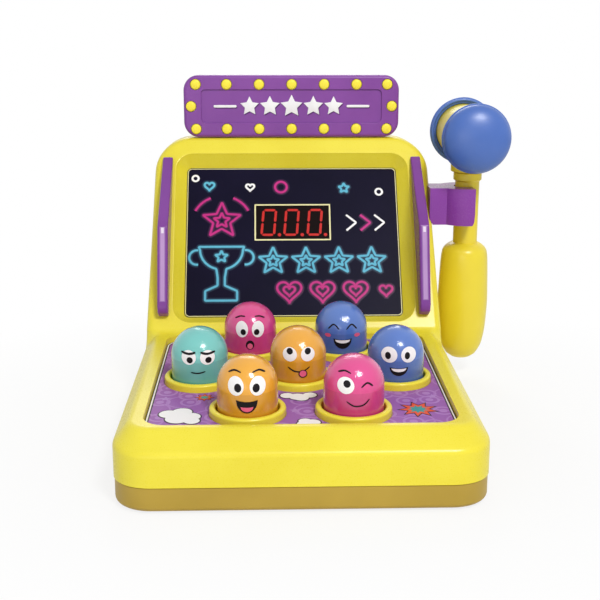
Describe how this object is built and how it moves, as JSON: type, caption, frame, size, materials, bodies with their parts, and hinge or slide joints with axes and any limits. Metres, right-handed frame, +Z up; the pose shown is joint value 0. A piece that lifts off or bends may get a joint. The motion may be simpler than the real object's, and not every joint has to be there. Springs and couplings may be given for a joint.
{
  "type": "mole pounding game",
  "caption": "Tabletop pounding game: a sloping deck of sprung moles in collars, an upright screen with a bulb sign, and a toy hammer in a side clip.",
  "frame": {"origin": "on the table, at the middle of the whole game's bounding box with its hammer", "axes": "+X to the player's right, towards the hammer; +Y from the player to the screen; +Z up"},
  "size_m": [0.248, 0.2838, 0.2165],
  "materials": {
    "yellow_plastic": "moulded, satin to glossy",
    "mustard_plastic": "moulded, satin",
    "purple_plastic": "moulded, glossy",
    "printed_sheet": "printed film",
    "printed_panel": "printed, glossy",
    "smoked_lens": "dark, clear and glossy",
    "black_plastic": "moulded",
    "circuit_board": "solder mask",
    "white_plastic": "moulded",
    "spring_steel": "plated",
    "battery_wrap": "wrapped",
    "foot_rubber": "matte",
    "blue_plastic": "moulded, satin",
    "orange_mole_plastic": "moulded, very glossy",
    "pink_mole_plastic": "moulded, very glossy",
    "teal_mole_plastic": "moulded, very glossy",
    "blue_mole_plastic": "moulded, very glossy"
  },
  "bodies": {
    "housing": {"base_tray": "mustard_plastic", "upper_housing": "yellow_plastic", "rear_cover": "yellow_plastic", "deck_sheet": "printed_sheet", "screen_panel": "printed_panel", "display_lens": "smoked_lens", "display_module": "black_plastic", "main_board": "circuit_board", "sign_front": "purple_plastic", "sign_bulbs": "yellow_plastic", "sign_back": "purple_plastic", "left_fin": "purple_plastic", "right_fin": "purple_plastic", "hammer_clip": "purple_plastic", "guide_plate": "white_plastic", "switch_board": "circuit_board", "speaker": "black_plastic", "battery_1": "battery_wrap", "battery_2": "battery_wrap", "battery_3": "battery_wrap", "foot_1": "foot_rubber", "foot_2": "foot_rubber", "foot_3": "foot_rubber", "foot_4": "foot_rubber", "tray_screw_1": "spring_steel", "tray_screw_2": "spring_steel", "tray_screw_3": "spring_steel", "tray_screw_4": "spring_steel", "power_switch": "black_plastic", "front_left_mole_spring": "spring_steel", "front_right_mole_spring": "spring_steel", "middle_left_mole_spring": "spring_steel", "middle_centre_mole_spring": "spring_steel", "middle_right_mole_spring": "spring_steel", "back_left_mole_spring": "spring_steel", "back_right_mole_spring": "spring_steel"},
    "front_left_mole": {"front_left_mole_cap": "orange_mole_plastic", "front_left_mole_plunger": "white_plastic"},
    "front_right_mole": {"front_right_mole_cap": "pink_mole_plastic", "front_right_mole_plunger": "white_plastic"},
    "middle_left_mole": {"middle_left_mole_cap": "teal_mole_plastic", "middle_left_mole_plunger": "white_plastic"},
    "middle_centre_mole": {"middle_centre_mole_cap": "orange_mole_plastic", "middle_centre_mole_plunger": "white_plastic"},
    "middle_right_mole": {"middle_right_mole_cap": "blue_mole_plastic", "middle_right_mole_plunger": "white_plastic"},
    "back_left_mole": {"back_left_mole_cap": "pink_mole_plastic", "back_left_mole_plunger": "white_plastic"},
    "back_right_mole": {"back_right_mole_cap": "blue_mole_plastic", "back_right_mole_plunger": "white_plastic"},
    "hammer": {"hammer_handle": "yellow_plastic", "hammer_head": "yellow_plastic", "hammer_cap_front": "blue_plastic", "hammer_cap_rear": "blue_plastic"},
    "battery_cover": {"battery_door": "mustard_plastic", "battery_door_screw": "spring_steel"},
    "power_slider": {"power_knob": "black_plastic"}
  },
  "joints": [
    {"name": "front_left_press", "type": "slide", "parent": "housing", "child": "front_left_mole", "axis": [0, 0.0366, -0.9993], "range_m": [0, 0.008], "stiffness_N_per_m": 150, "springref_m": -0.005, "deforming": ["front_left_mole_spring"]},
    {"name": "front_right_press", "type": "slide", "parent": "housing", "child": "front_right_mole", "axis": [0, 0.0366, -0.9993], "range_m": [0, 0.008], "stiffness_N_per_m": 150, "springref_m": -0.005, "deforming": ["front_right_mole_spring"]},
    {"name": "middle_left_press", "type": "slide", "parent": "housing", "child": "middle_left_mole", "axis": [0, 0.0366, -0.9993], "range_m": [0, 0.008], "stiffness_N_per_m": 150, "springref_m": -0.005, "deforming": ["middle_left_mole_spring"]},
    {"name": "middle_centre_press", "type": "slide", "parent": "housing", "child": "middle_centre_mole", "axis": [0, 0.0366, -0.9993], "range_m": [0, 0.008], "stiffness_N_per_m": 150, "springref_m": -0.005, "deforming": ["middle_centre_mole_spring"]},
    {"name": "middle_right_press", "type": "slide", "parent": "housing", "child": "middle_right_mole", "axis": [0, 0.0366, -0.9993], "range_m": [0, 0.008], "stiffness_N_per_m": 150, "springref_m": -0.005, "deforming": ["middle_right_mole_spring"]},
    {"name": "back_left_press", "type": "slide", "parent": "housing", "child": "back_left_mole", "axis": [0, 0.0366, -0.9993], "range_m": [0, 0.008], "stiffness_N_per_m": 150, "springref_m": -0.005, "deforming": ["back_left_mole_spring"]},
    {"name": "back_right_press", "type": "slide", "parent": "housing", "child": "back_right_mole", "axis": [0, 0.0366, -0.9993], "range_m": [0, 0.008], "stiffness_N_per_m": 150, "springref_m": -0.005, "deforming": ["back_right_mole_spring"]},
    {"name": "hammer_pull", "type": "slide", "parent": "housing", "child": "hammer", "axis": [1, 0, 0], "range_m": [0, 0.04]},
    {"name": "battery_door_swing", "type": "hinge", "parent": "housing", "child": "battery_cover", "pos_m": [-0.024, 0.05369, 0.0022], "axis": [-1, 0, 0], "range_deg": [0, 80]},
    {"name": "power_slide", "type": "slide", "parent": "housing", "child": "power_slider", "axis": [1, 0, 0], "range_m": [0, 0.005]}
  ]
}
